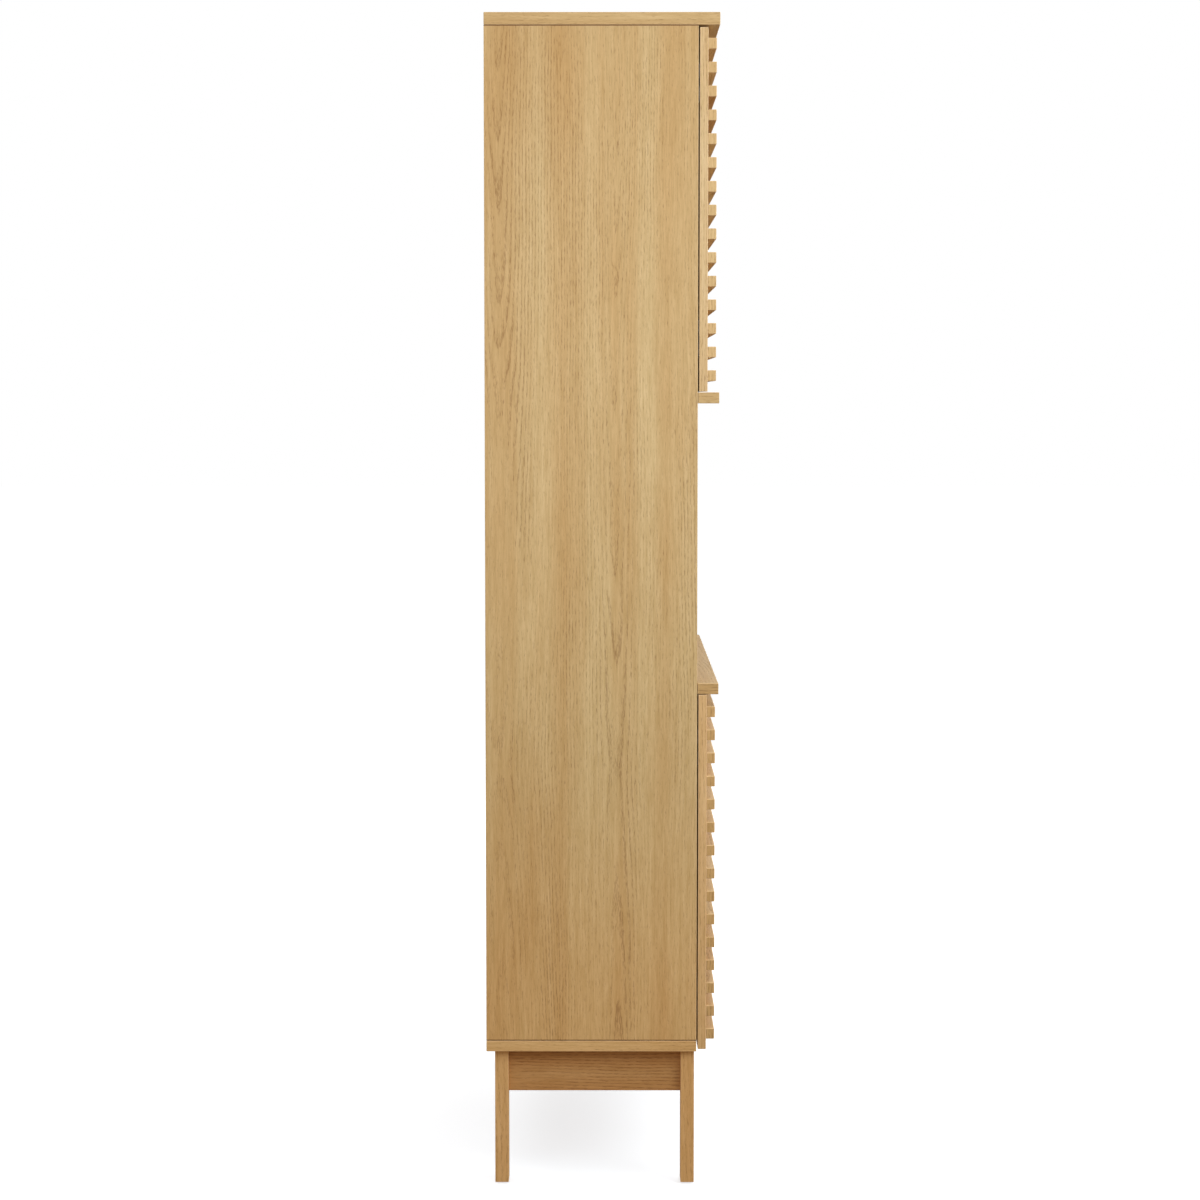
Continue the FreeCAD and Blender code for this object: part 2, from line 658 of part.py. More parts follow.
RAIL_FOOT = f"({BASE_TOP} - dim.rail_height)"
RAIL_DOWEL_SHARES = (0.3, 0.7)
RAIL_DOWEL_LEVELS = [f"({RAIL_FOOT} + dim.rail_height * {share})" for share in RAIL_DOWEL_SHARES]
side_rail_middle = f"({SIDE_RAIL_X} - dim.board / 2)"
front_rail_middle = f"({FRONT_RAIL_Y} + dim.board / 2)"
back_rail_middle = f"({BACK_RAIL_Y} - dim.board / 2)"
GLIDE_STEM = ("dim.glide_stem_radius", "dim.glide_stem_length")
leg_bolts, glides = [], []
for row, leg_y in LEG_ROWS:
    facing = "-Y" if row == "front" else "+Y"
    inner_y = f"({leg_y} {'+' if row == 'front' else '-'} dim.leg_depth / 2)"
    rail_middle = front_rail_middle if row == "front" else back_rail_middle
    for hand, sign in SIDES:
        x = across(sign, LEG_X)
        leg = box_board(
            f"{row}_leg_{hand}",
            (f"({x}) - dim.leg_width / 2", f"{leg_y} - dim.leg_depth / 2", "dim.glide_height"),
            ("dim.leg_width", "dim.leg_depth", "dim.leg_length"),
        )
        outward = "-X" if hand == "left" else "+X"
        bolt_spot = (across(sign, LEG_BOLT_X), leg_y)
        side_spots = [(across(sign, side_rail_middle), z) for z in RAIL_DOWEL_LEVELS]
        end_spots = [(rail_middle, z) for z in RAIL_DOWEL_LEVELS]
        inner_x = across(sign, f"{LEG_X} - dim.leg_width / 2")
        for bore, drill, plane, spots, depth, radius in (
            ("bolt_hole", "-Z", BASE_TOP, [bolt_spot], "dim.leg_bolt_in_leg", "dim.leg_bolt_radius"),
            ("glide_hole", "+Z", "dim.glide_height", [(x, leg_y)], GLIDE_STEM[1], GLIDE_STEM[0]),
            ("side_dowels", facing, inner_y, side_spots, "dim.dowel_in_face", "dim.dowel_radius"),
            ("end_dowels", outward, inner_x, end_spots, "dim.dowel_in_face", "dim.dowel_radius"),
        ):
            pocket(leg, bore, drill, plane, depth, spots, radius=radius)
        for z in RAIL_DOWEL_LEVELS:
            dowel((across(sign, side_rail_middle), inner_y, z), facing)
            dowel((inner_x, rail_middle, z), outward)
        length = "dim.leg_bolt_in_leg + dim.leg_bolt_in_board"
        at = (*bolt_spot, f"{BASE_TOP} - dim.leg_bolt_in_leg")
        leg_bolts.append(
            cylinder(f"leg_bolt_{len(leg_bolts)}", at, "+Z", "dim.leg_bolt_radius", length)
        )
        foot = doc.addObject("Part::Cone", f"glide_{len(glides)}_foot")
        place(foot, x, leg_y, "0")
        foot.setExpression("Radius1", "dim.glide_foot_radius")
        foot.setExpression("Radius2", "dim.glide_top_radius")
        foot.setExpression("Height", "dim.glide_height")
        stem_foot = (x, leg_y, "dim.glide_height")
        stem = cylinder(f"glide_{len(glides)}_stem", stem_foot, "+Z", *GLIDE_STEM)
        glides.append(fuse(f"glide_{len(glides)}", [foot, stem]))
group("leg_bolts", leg_bolts)
group("foot_glides", glides)

LEG_INNER_Y = [
    f"({LEG_ROWS[0][1]} + dim.leg_depth / 2)",
    f"({LEG_ROWS[1][1]} - dim.leg_depth / 2)",
]
BRACKET_SCREW_Z = f"({BASE_TOP} - {BRACKET_MIDDLE})"


def finish_rail(rail, drills, dowel_planes, spots, bracket_face, bracket_drill, bracket_spots):
    """Bores the dowel holes in both ends of a rail, and the bracket screws' holes in its inner face."""
    for drill, plane in zip(drills, dowel_planes):
        name = "low_end" if drill[0] == "+" else "high_end"
        pocket(rail, name, drill, plane, "dim.dowel_in_edge", spots, radius="dim.dowel_radius")
    pocket(
        rail,
        "screw_holes",
        bracket_drill,
        bracket_face,
        "dim.screw_length",
        bracket_spots,
        radius="dim.screw_radius",
    )


for hand, sign in SIDES:
    middle = across(sign, side_rail_middle)
    rail = box_board(
        f"side_rail_{hand}",
        (f"({middle}) - dim.board / 2", LEG_INNER_Y[0], RAIL_FOOT),
        ("dim.board", f"({LEG_INNER_Y[1]} - {LEG_INNER_Y[0]})", "dim.rail_height"),
    )
    finish_rail(
        rail,
        ("+Y", "-Y"),
        LEG_INNER_Y,
        [(middle, z) for z in RAIL_DOWEL_LEVELS],
        across(sign, f"{SIDE_RAIL_X} - dim.board"),
        "-X" if hand == "left" else "+X",
        [("0", BRACKET_SCREW_Z)],
    )

rail_half = f"({LEG_X} - dim.leg_width / 2)"
for row, middle, face, drill in (
    ("front", front_rail_middle, f"{FRONT_RAIL_Y} + dim.board", "-Y"),
    ("back", back_rail_middle, f"{BACK_RAIL_Y} - dim.board", "+Y"),
):
    rail = box_board(
        f"{row}_rail",
        (f"-{rail_half}", f"{middle} - dim.board / 2", RAIL_FOOT),
        (f"2 * {rail_half}", "dim.board", "dim.rail_height"),
    )
    finish_rail(
        rail,
        ("+X", "-X"),
        (f"-{rail_half}", rail_half),
        [(middle, z) for z in RAIL_DOWEL_LEVELS],
        face,
        drill,
        [(f"{sign} * dim.cabinet_width / 4", BRACKET_SCREW_Z) for _, sign in SIDES],
    )

brackets, bracket_screws = [], []
for i, (x, y, way) in enumerate(BRACKETS):
    half = "dim.bracket_width / 2"
    reach, sheet = "dim.bracket_reach", "dim.bracket_sheet"
    low = {"+": "0", "-": "-dim.bracket_reach"}[way[0]]
    low_sheet = {"+": "0", "-": "-dim.bracket_sheet"}[way[0]]
    if way[1] == "X":
        floor_corner = (f"({x}) + {low}", f"{y} - {half}", f"{BASE_TOP} - {sheet}")
        floor_size = (reach, "dim.bracket_width", sheet)
        wall_corner = (f"({x}) + {low_sheet}", f"{y} - {half}", f"{BASE_TOP} - {reach}")
        wall_size = (sheet, "dim.bracket_width", reach)
    else:
        floor_corner = (f"({x}) - {half}", f"({y}) + {low}", f"{BASE_TOP} - {sheet}")
        floor_size = ("dim.bracket_width", reach, sheet)
        wall_corner = (f"({x}) - {half}", f"({y}) + {low_sheet}", f"{BASE_TOP} - {reach}")
        wall_size = ("dim.bracket_width", sheet, reach)
    angle = fuse(
        f"bracket_{i}_angle",
        [
            box(f"bracket_{i}_floor", floor_corner, floor_size),
            box(f"bracket_{i}_wall", wall_corner, wall_size),
        ],
    )
    back = {"+": "-", "-": "+"}[way[0]] + way[1]
    up_spot = (*bracket_floor_spots[i], f"{BASE_TOP} - {sheet}")
    wall_spot = shifted((x, y, BRACKET_SCREW_Z), way, sheet)
    holes = fuse(
        f"bracket_{i}_holes",
        [
            cylinder(f"bracket_{i}_up_hole", up_spot, "+Z", "dim.screw_radius", sheet),
            cylinder(f"bracket_{i}_wall_hole", wall_spot, back, "dim.screw_radius", sheet),
        ],
    )
    brackets.append(cut(f"bracket_{i}", angle, holes))
    bracket_screws.append(screw(f"bracket_screw_{i}_up", up_spot, "+Z"))
    bracket_screws.append(screw(f"bracket_screw_{i}_wall", wall_spot, back))
group("rail_brackets", brackets)
group("rail_bracket_screws", bracket_screws)
group("wood_dowels", dowels)
group("cam_locks", cams)
group("cam_bolts", bolts)

# ---------------------------------------------------------------- hinge plates and arms

plates, plate_screws, arms, arm_screws = [], [], [], []
PLATE_SHEET = f"({INNER_FACE} - {ARM_FACE_X})"
for hand, sign in SIDES:
    outward = "-X" if hand == "left" else "+X"
    for z in HINGE_LEVELS:
        i = len(plates)
        low_x = across(sign, ARM_FACE_X if hand == "right" else INNER_FACE)
        length, wing = "dim.plate_length", "dim.plate_wing_width"
        strip = box(
            f"plate_{i}_strip",
            (low_x, f"{PLATE_ROW} - {length} / 2", f"{z} - dim.plate_half"),
            (PLATE_SHEET, length, "2 * dim.plate_half"),
        )
        wings = box(
            f"plate_{i}_wings",
            (low_x, f"{PLATE_ROW} - {wing} / 2", f"{z} - dim.plate_wing"),
            (PLATE_SHEET, wing, "2 * dim.plate_wing"),
        )
        plate_face = across(sign, ARM_FACE_X)
        spots = [(plate_face, PLATE_ROW, f"{z} {way} dim.plate_screw_reach") for way in ("-", "+")]
        arm_face = (across(sign, ARM_BACK_X), ARM_SCREW_Y, z)
        holes = [
            cylinder(f"plate_{i}_hole_{k}", spot, outward, "dim.screw_radius", PLATE_SHEET)
            for k, spot in enumerate(spots)
        ]
        arm_hole_length = f"({INNER_FACE} - {ARM_BACK_X})"
        holes.append(
            cylinder(f"plate_{i}_arm_hole", arm_face, outward, "dim.screw_radius", arm_hole_length)
        )
        cross = fuse(f"plate_{i}_cross", [strip, wings])
        plates.append(cut(f"plate_{i}", cross, fuse(f"plate_{i}_holes", holes)))
        shank_length = f"{PLATE_SHEET} + dim.screw_length"
        for k, spot in enumerate(spots):
            plate_screws.append(screw(f"plate_screw_{i}_{k}", spot, outward, shank_length))
        half, sheet = "dim.arm_half", "dim.arm_sheet"
        eye = cylinder(
            f"arm_{i}_eye",
            (across(sign, PIVOT_X), PIVOT_Y, f"{z} - {half}"),
            "+Z",
            "dim.arm_eye_radius",
            f"2 * {half}",
        )
        web_low = across(sign, ARM_BACK_X if hand == "right" else PIVOT_X)
        web = box(
            f"arm_{i}_web",
            (web_low, f"{PIVOT_Y} - {sheet} / 2", f"{z} - {half}"),
            ("dim.arm_corner", sheet, f"2 * {half}"),
        )
        leaf_low = across(sign, ARM_BACK_X if hand == "right" else ARM_FACE_X)
        leaf = box(
            f"arm_{i}_leaf",
            (leaf_low, f"{PIVOT_Y} - {sheet} / 2", f"{z} - {half}"),
            (sheet, "dim.arm_length", f"2 * {half}"),
        )
        pin_hole = cylinder(
            f"arm_{i}_pin_hole",
            (across(sign, PIVOT_X), PIVOT_Y, f"{z} - {half}"),
            "+Z",
            "dim.pin_shank_radius + dim.running_fit",
            f"2 * {half}",
        )
        screw_hole = cylinder(f"arm_{i}_screw_hole", arm_face, outward, "dim.screw_radius", sheet)
        arms.append(
            cut(
                f"arm_{i}",
                fuse(f"arm_{i}_gooseneck", [eye, web, leaf]),
                fuse(f"arm_{i}_holes", [pin_hole, screw_hole]),
            )
        )
        arm_screws.append(screw(f"arm_screw_{i}", arm_face, outward, arm_hole_length))
group("hinge_plates", plates)
group("hinge_plate_screws", plate_screws)
group("hinge_arms", arms)
group("hinge_arm_screws", arm_screws)

# ---------------------------------------------------------------- magnetic catches

catches, catch_screw_parts = [], []
for level in (SIDE_HEAD, "dim.countertop_level"):
    for _, sign in SIDES:
        i = len(catches)
        middle = across(sign, "dim.catch_from_middle")
        block = box(
            f"catch_{i}_block",
            (f"{middle} - dim.catch_width / 2", CATCH_Y, f"{level} - dim.catch_height"),
            ("dim.catch_width", "dim.catch_depth", "dim.catch_height"),
        )
        ears = box(
            f"catch_{i}_ears",
            (f"{middle} - dim.catch_ears / 2", CATCH_Y, f"{level} - dim.catch_ear_sheet"),
            ("dim.catch_ears", "dim.catch_depth", "dim.catch_ear_sheet"),
        )
        spots = [
            (f"{middle} {way} dim.catch_screw_reach", CATCH_MIDDLE_Y, f"{level} - dim.catch_ear_sheet")
            for way in ("-", "+")
        ]
        holes = [
            cylinder(f"catch_{i}_hole_{k}", spot, "+Z", "dim.screw_radius", "dim.catch_ear_sheet")
            for k, spot in enumerate(spots)
        ]
        blank = fuse(f"catch_{i}_body", [block, ears])
        catches.append(cut(f"catch_{i}", blank, fuse(f"catch_{i}_holes", holes)))
        for k, spot in enumerate(spots):
            catch_screw_parts.append(screw(f"catch_screw_{i}_{k}", spot, "+Z"))
group("magnetic_catches", catches)
group("catch_screws", catch_screw_parts)

# ---------------------------------------------------------------- doors

for level, hand, sign in DOORS:
    name = f"{level}_{hand}"
    foot, height = f"dim.{level}_door_foot", f"dim.{level}_door_height"
    low_x = f"-{DOOR_EDGE}" if hand == "left" else "(dim.door_middle_gap / 2)"
    panel = box_board(
        f"{name}_door_panel",
        (low_x, f"({DOOR_BACK} - dim.door_board)", foot),
        (DOOR_WIDTH, "dim.door_board", height),
    )
    cup_x, pivot_x = across(sign, CUP_X), across(sign, PIVOT_X)
    levels = hinge_levels(level)
    cup_spots = [(cup_x, z) for z in levels]
    pocket(panel, "cup_bores", "-Y", DOOR_BACK, "dim.cup_depth", cup_spots, radius="dim.cup_radius")
    for k, z in enumerate(levels):
        knuckle_low = pivot_x if hand == "right" else f"({pivot_x}) - dim.knuckle_outer"
        seat = rectangle(
            knuckle_low, f"{z} - dim.knuckle_half", "dim.knuckle_outer", "2 * dim.knuckle_half"
        )
        pocket(panel, f"knuckle_seat_{k}", "-Y", DOOR_BACK, "dim.cup_depth", points=seat)
    cup_screw_spots = [
        (across(sign, f"{CUP_X} - dim.cup_screw_offset"), f"{z} {way} dim.cup_screw_reach")
        for z in levels
        for way in ("-", "+")
    ]
    strike_z = f"({foot} + {height} - dim.strike_from_top - dim.strike_height / 2)"
    strike_x = across(sign, "dim.catch_from_middle")
    strike_spots = [(f"{strike_x} {way} dim.catch_screw_reach", strike_z) for way in ("-", "+")]
    pocket(
        panel,
        "screw_holes",
        "-Y",
        DOOR_BACK,
        "dim.screw_length",
        cup_screw_spots + strike_spots,
        radius="dim.screw_radius",
    )

    slat_foot = f"({foot} + dim.slat_margin)"
    slat_back = f"({DOOR_BACK} - dim.door_board)"
    slats = board_body(f"{name}_door_slats", (low_x, f"({slat_back} - dim.slat_depth)", slat_foot))
    slats.AllowCompound = True
    pad(
        slats,
        "+Y",
        f"{slat_back} - dim.slat_depth",
        rectangle(low_x, slat_foot, DOOR_WIDTH, "dim.slat_height"),
        "dim.slat_depth",
        "dim.slat_round",
    )
    doc.recompute()
    row = slats.newObject("PartDesign::LinearPattern", f"{slats.Name}_row")
    row.TransformMode = "Whole shape"
    row.Direction = ([a for a in slats.Origin.OriginFeatures if a.Role == "Z_Axis"][0], [""])
    row.Occurrences = SLATS_PER_DOOR
    row.setExpression("Length", f"dim.slat_pitch * {SLATS_PER_DOOR - 1}")
    slats.Tip = row

    cups, pins, screws = [], [], []
    flange_face = f"{DOOR_BACK} + dim.flange_sheet"
    for k, z in enumerate(levels):
        part = f"{name}_cup_{k}"
        flange_side = "- dim.flange_inner" if hand == "right" else "+ dim.flange_outer"
        flange_low = across(sign, f"{CUP_X} {flange_side}")
        flange = box(
            f"{part}_flange",
            (flange_low, DOOR_BACK, f"{z} - dim.flange_reach"),
            ("dim.flange_inner + dim.flange_outer", "dim.flange_sheet", "2 * dim.flange_reach"),
        )
        dish = cylinder(f"{part}_dish", (cup_x, DOOR_BACK, z), "-Y", "dim.cup_radius", "dim.cup_depth")
        housing_low = pivot_x if hand == "right" else f"({pivot_x}) - dim.knuckle_outer"
        housing = box(
            f"{part}_housing",
            (housing_low, f"{DOOR_BACK} - dim.cup_depth", f"{z} - dim.knuckle_half"),
            ("dim.knuckle_outer", "dim.cup_depth", "2 * dim.knuckle_half"),
        )
        outside = fuse(f"{part}_outside", [flange, dish, housing])
        hollow_depth = "dim.cup_depth - dim.cup_sheet + dim.flange_sheet"
        bowl_radius = "dim.cup_radius - dim.cup_sheet"
        bowl = cylinder(f"{part}_bowl", (cup_x, flange_face, z), "-Y", bowl_radius, hollow_depth)
        cheeks_side = "dim.knuckle_inner" if hand == "right" else "dim.knuckle_outer"
        cheeks_low = f"({pivot_x}) - {cheeks_side}"
        hollow_foot = f"{DOOR_BACK} - dim.cup_depth + dim.cup_sheet"
        cheeks = box(
            f"{part}_cheeks",
            (cheeks_low, hollow_foot, f"{z} - dim.knuckle_half"),
            ("dim.knuckle_inner + dim.knuckle_outer", hollow_depth, "2 * dim.knuckle_half"),
        )
        slot_half = "(dim.knuckle_half - dim.cup_sheet)"
        slot_low = (
            f"({pivot_x}) - dim.knuckle_inner"
            if hand == "right"
            else f"({pivot_x}) - dim.knuckle_outer + dim.knuckle_sheet"
        )
        slot_width = "dim.knuckle_inner + dim.knuckle_outer - dim.knuckle_sheet"
        slot = box(
            f"{part}_slot",
            (slot_low, hollow_foot, f"{z} - {slot_half}"),
            (slot_width, hollow_depth, f"2 * {slot_half}"),
        )
        pin_at = (pivot_x, PIVOT_Y, f"{z} - dim.knuckle_half")
        pin_length = "2 * dim.knuckle_half"
        pin_hole = cylinder(f"{part}_pin_hole", pin_at, "+Z", "dim.pin_shank_radius", pin_length)
        reach = value("dim.flange_reach")
        spots = [spot for spot in cup_screw_spots if abs(value(spot[1]) - value(z)) < reach]
        bowl_hollow = cut(f"{part}_bowl_hollow", bowl, cheeks)
        hollows = [bowl_hollow, slot, pin_hole]
        for n, (x, screw_z) in enumerate(spots):
            at = (x, flange_face, screw_z)
            hole = f"{part}_screw_hole_{n}"
            hollows.append(cylinder(hole, at, "-Y", "dim.screw_radius", "dim.flange_sheet"))
        hollow = fuse(f"{part}_hollow", hollows)
        cups.append(cut(part, outside, hollow))
        pins.append(cylinder(f"{name}_pin_{k}", pin_at, "+Z", "dim.pin_shank_radius", pin_length))
        for n, (x, screw_z) in enumerate(spots):
            screws.append(screw(f"{part}_screw_{n}", (x, flange_face, screw_z), "-Y"))
    group(f"{name}_hinge_cups", cups)
    group(f"{name}_hinge_pins", pins)

    strike = box(
        f"{name}_strike_blank",
        (f"{strike_x} - dim.catch_ears / 2", DOOR_BACK, f"{strike_z} - dim.strike_height / 2"),
        ("dim.catch_ears", "dim.strike_sheet", "dim.strike_height"),
    )
    strike_face = f"{DOOR_BACK} + dim.strike_sheet"
    strike_holes = []
    for n, (x, screw_z) in enumerate(strike_spots):
        at = (x, strike_face, screw_z)
        strike_holes.append(
            cylinder(f"{name}_strike_hole_{n}", at, "-Y", "dim.screw_radius", "dim.strike_sheet")
        )
        screws.append(screw(f"{name}_strike_screw_{n}", at, "-Y"))
    strike_drill = fuse(f"{name}_strike_holes", strike_holes)
    keep(cut(f"{name}_strike_plate", strike, strike_drill), f"{name}_strike_plate")
    group(f"{name}_door_screws", screws)

# ---------------------------------------------------------------- checks and files

doc.recompute()
for item in doc.Objects:
    if "Invalid" in item.State or "Error" in item.State:
        raise RuntimeError(f"{item.Label} failed: {item.State}")
    if item.TypeId == "PartDesign::Pocket":
        if not item.Shape.Volume < item.BaseFeature.Shape.Volume - 1:
            raise RuntimeError(f"{item.Label} cuts nothing")
for item in sub_parts:
    if item.Shape.isNull() or not item.Shape.isValid():
        raise RuntimeError(f"{item.Label} has no valid shape")

os.makedirs("parts", exist_ok=True)
for item in sub_parts:
    item.Shape.exportStep(f"parts/{item.Label}.step")
print(len(sub_parts), "sub-parts written")
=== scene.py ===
"""The looks of the tall pantry cabinet: oak-veneered boards, solid oak base, steel fittings, pale studio.

Metres, in the row frame: +Z up, the doors face -Y, and the origin is on the floor under the cabinet.
"""

import math

import bpy
from mathutils import Euler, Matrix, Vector


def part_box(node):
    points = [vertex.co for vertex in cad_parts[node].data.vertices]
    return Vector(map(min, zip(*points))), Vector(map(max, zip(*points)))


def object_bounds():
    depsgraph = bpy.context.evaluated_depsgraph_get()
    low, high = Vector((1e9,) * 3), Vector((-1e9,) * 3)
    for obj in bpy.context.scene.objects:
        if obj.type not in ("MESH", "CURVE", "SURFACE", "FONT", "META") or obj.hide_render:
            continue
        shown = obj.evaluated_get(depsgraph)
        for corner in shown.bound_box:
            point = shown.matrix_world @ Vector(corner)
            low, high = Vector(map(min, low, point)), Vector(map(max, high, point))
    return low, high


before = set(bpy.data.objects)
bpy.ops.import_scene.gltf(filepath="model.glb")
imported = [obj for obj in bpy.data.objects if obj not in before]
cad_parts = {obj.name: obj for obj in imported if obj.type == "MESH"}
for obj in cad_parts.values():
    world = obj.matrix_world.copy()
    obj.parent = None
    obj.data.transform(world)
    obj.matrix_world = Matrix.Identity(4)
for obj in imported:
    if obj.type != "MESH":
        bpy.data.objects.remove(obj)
cad_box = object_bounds()

X, Y, Z = "X", "Y", "Z"
SIDES = ("left", "right")
LEVELS = ("upper", "lower")
WHITE = (1.0, 1.0, 1.0, 1.0)


# ---------------------------------------------------------------- node building


class Graph:
    """Adds nodes to one node tree; each method gives back an output socket."""

    def __init__(self, tree):
        self.tree = tree

    def node(self, kind, inputs=None, **settings):
        made = self.tree.nodes.new(kind)
        for name, setting in settings.items():
            setattr(made, name, setting)
        for name, value in (inputs or {}).items():
            self.feed(made.inputs[name], value)
        return made

    def feed(self, socket, value):
        if isinstance(value, bpy.types.NodeSocket):
            self.tree.links.new(value, socket)
        else:
            socket.default_value = value

    def math(self, operation, *values, clamp=False):
        made = self.tree.nodes.new("ShaderNodeMath")
        made.operation = operation
        made.use_clamp = clamp
        for socket, value in zip(made.inputs, values):
            self.feed(socket, value)
        return made.outputs[0]

    def vector(self, operation, *values):
        made = self.tree.nodes.new("ShaderNodeVectorMath")
        made.operation = operation
        for socket, value in zip(made.inputs, values):
            self.feed(socket, value)
        return made.outputs[0]

    def scaled(self, vector, factors):
        return self.vector("MULTIPLY", vector, factors)

    def noise(self, vector, scale=1.0, detail=2.0, roughness=0.5, output=0):
        inputs = {"Vector": vector, "Scale": scale, "Detail": detail, "Roughness": roughness}
        return self.node("ShaderNodeTexNoise", inputs).outputs[output]

    def remap(self, value, low, high, to_low=0.0, to_high=1.0, smooth=False):
        made = self.node("ShaderNodeMapRange", clamp=True)
        made.interpolation_type = "SMOOTHSTEP" if smooth else "LINEAR"
        for socket, number in zip(made.inputs, (value, low, high, to_low, to_high)):
            self.feed(socket, number)
        return made.outputs[0]

    def mix(self, factor, first, second, blend="MIX"):
        made = self.node("ShaderNodeMix", data_type="RGBA", blend_type=blend)
        self.feed(made.inputs[0], factor)
        self.feed(made.inputs[6], first)
        self.feed(made.inputs[7], second)
        return made.outputs[2]

    def mix_vector(self, factor, first, second):
        made = self.node("ShaderNodeMix", data_type="VECTOR")
        self.feed(made.inputs[0], factor)
        self.feed(made.inputs[4], first)
        self.feed(made.inputs[5], second)
        return made.outputs[1]

    def mix_number(self, factor, first, second):
        made = self.node("ShaderNodeMix", data_type="FLOAT")
        self.feed(made.inputs[0], factor)
        self.feed(made.inputs[2], first)
        self.feed(made.inputs[3], second)
        return made.outputs[0]


def linear(red, green, blue):
    """An RGBA colour from display values of 0 to 255."""
    channels = []
    for value in (red, green, blue):
        share = value / 255
        low = share / 12.92
        channels.append(low if share <= 0.04045 else ((share + 0.055) / 1.055) ** 2.4)
    return (*channels, 1.0)


def new_material(name):
    """An empty material with a Principled shader, its graph and the shader."""
    material = bpy.data.materials.new(name)
    material.use_nodes = True
    material.node_tree.nodes.clear()
    graph = Graph(material.node_tree)
    shader = graph.node("ShaderNodeBsdfPrincipled")
    output = graph.node("ShaderNodeOutputMaterial")
    material.node_tree.links.new(shader.outputs[0], output.inputs[0])
    return material, graph, shader


def bump(graph, shader, height, distance, strength=1.0):
    """Feeds a height field, in units of `distance`, to the shader's normal."""
    made = graph.node("ShaderNodeBump", {"Strength": strength, "Distance": distance, "Height": height})
    graph.feed(shader.inputs["Normal"], made.outputs[0])


# ---------------------------------------------------------------- oak

PALE_OAK = linear(213, 188, 138)
WARM_OAK = linear(194, 155, 96)
LINE_OAK = linear(158, 114, 66)
PORE_OAK = linear(118, 74, 32)
# painted shadow in the seams where the side panels meet the top and bottom boards
JOINT_SHADOW_OAK = linear(112, 74, 38)
# painted shade: the side panels are painted darker and warmer towards the foot
FOOT_SHADE_TINT = (1.07, 0.95, 0.84, 1.0)
FIBRE_TINT = (0.77, 1.0, 1.57)
# painted highlight along the eased edges of every oak piece
EDGE_HIGHLIGHT_OAK = linear(234, 208, 162)
EDGE_HIGHLIGHT_SHARE = 0.85
SIDE_CUT = {"left": 1.3392, "right": 1.8655}

LEAF_WIDTH = 0.180
STRAIGHT_SHARE = 0.15  # where in a leaf, as a share of its width, the grain runs straight
LOG_LENGTH = 1.3
RINGS_PER_METRE = 230.0
SLAT_PITCH = 0.035
STRIP_CUT = (5.0, 3.0, 0.0)

# how fast each texture changes along the grain, across it and in depth, per metre
WANDER_SCALE = (1.8, 7.0, 7.0)
FIBRE_SCALE = (38.0, 500.0, 500.0)
COARSE_SCALE = (9.0, 170.0, 170.0)
PORE_SCALE = (110.0, 820.0, 820.0)

# factors on the oak's colour: the slats, base board and legs are cut from lighter or warmer wood; the
# door panels are lighter wood with painted light on them, more on the lower pair; the rails are painted
# darker and warmer, as painted shade under the bottom board
# lighter door wood plus painted light; the lower doors are painted lighter than the upper ones
DOOR_TONE_AND_PAINTED_LIGHT = {"upper": (1.13, 1.17, 1.32, 1.0), "lower": (1.22, 1.20, 1.29, 1.0)}
LIGHT_SLAT = (1.08, 1.05, 1.03, 1.0)
BASE_BOARD = (1.22, 1.15, 1.12, 1.0)
WARM_LEG = (1.20, 1.06, 0.97, 1.0)
RAIL_SHADE = (0.95, 0.76, 0.64, 1.0)


def centred_noise(graph, vector, detail=2.0, roughness=0.5):
    """Noise with its middle at zero."""
    return graph.math("SUBTRACT", graph.noise(vector, detail=detail, roughness=roughness), 0.5)


def ring_pattern(graph, grain):
    """Growth rings of a log whose heart lies a little under each veneer leaf: long nested flames."""
    parts = graph.node("ShaderNodeSeparateXYZ", {0: grain}).outputs
    along, across, depth = parts[0], parts[1], parts[2]
    leaf = graph.math("DIVIDE", across, LEAF_WIDTH)
    leaf_number = graph.math("FLOOR", leaf)
    chance = graph.node("ShaderNodeTexWhiteNoise", {"W": leaf_number}, noise_dimensions="1D").outputs
    chances = graph.node("ShaderNodeSeparateColor", {0: chance["Color"]}).outputs
    from_heart = graph.math("SUBTRACT", graph.math("FRACT", leaf), 0.5)
    from_heart = graph.math("MULTIPLY", from_heart, LEAF_WIDTH)
    sway = centred_noise(graph, graph.scaled(grain, (0.8, 3.0, 3.0)), detail=1.5)
    from_heart = graph.math("ADD", from_heart, graph.math("MULTIPLY", sway, 0.04))
    tilt = graph.remap(chances[0], 0.0, 1.0, 0.022, 0.042)
    under = graph.remap(chances[1], 0.0, 1.0, 0.002, 0.018)
    swell = centred_noise(graph, graph.scaled(grain, (0.9, 2.0, 2.0)), detail=2.0)
    under = graph.math("ADD", under, graph.math("MULTIPLY", swell, 0.012))
    run = graph.math("PINGPONG", along, LOG_LENGTH)
    under = graph.math("ADD", under, graph.math("ADD", depth, graph.math("MULTIPLY", run, tilt)))
    aside_squared = graph.math("POWER", graph.math("ABSOLUTE", from_heart), 2.0)
    under_squared = graph.math("POWER", graph.math("ABSOLUTE", under), 2.0)
    radius = graph.math("SQRT", graph.math("ADD", aside_squared, under_squared))
    ripple = centred_noise(graph, graph.scaled(grain, (4.5, 28.0, 28.0)), detail=2.5)
    radius = graph.math("ADD", radius, graph.math("MULTIPLY", ripple, 0.0070))
    phase = graph.math("MULTIPLY", radius, RINGS_PER_METRE)
    return graph.math("FRACT", phase), chances[2]


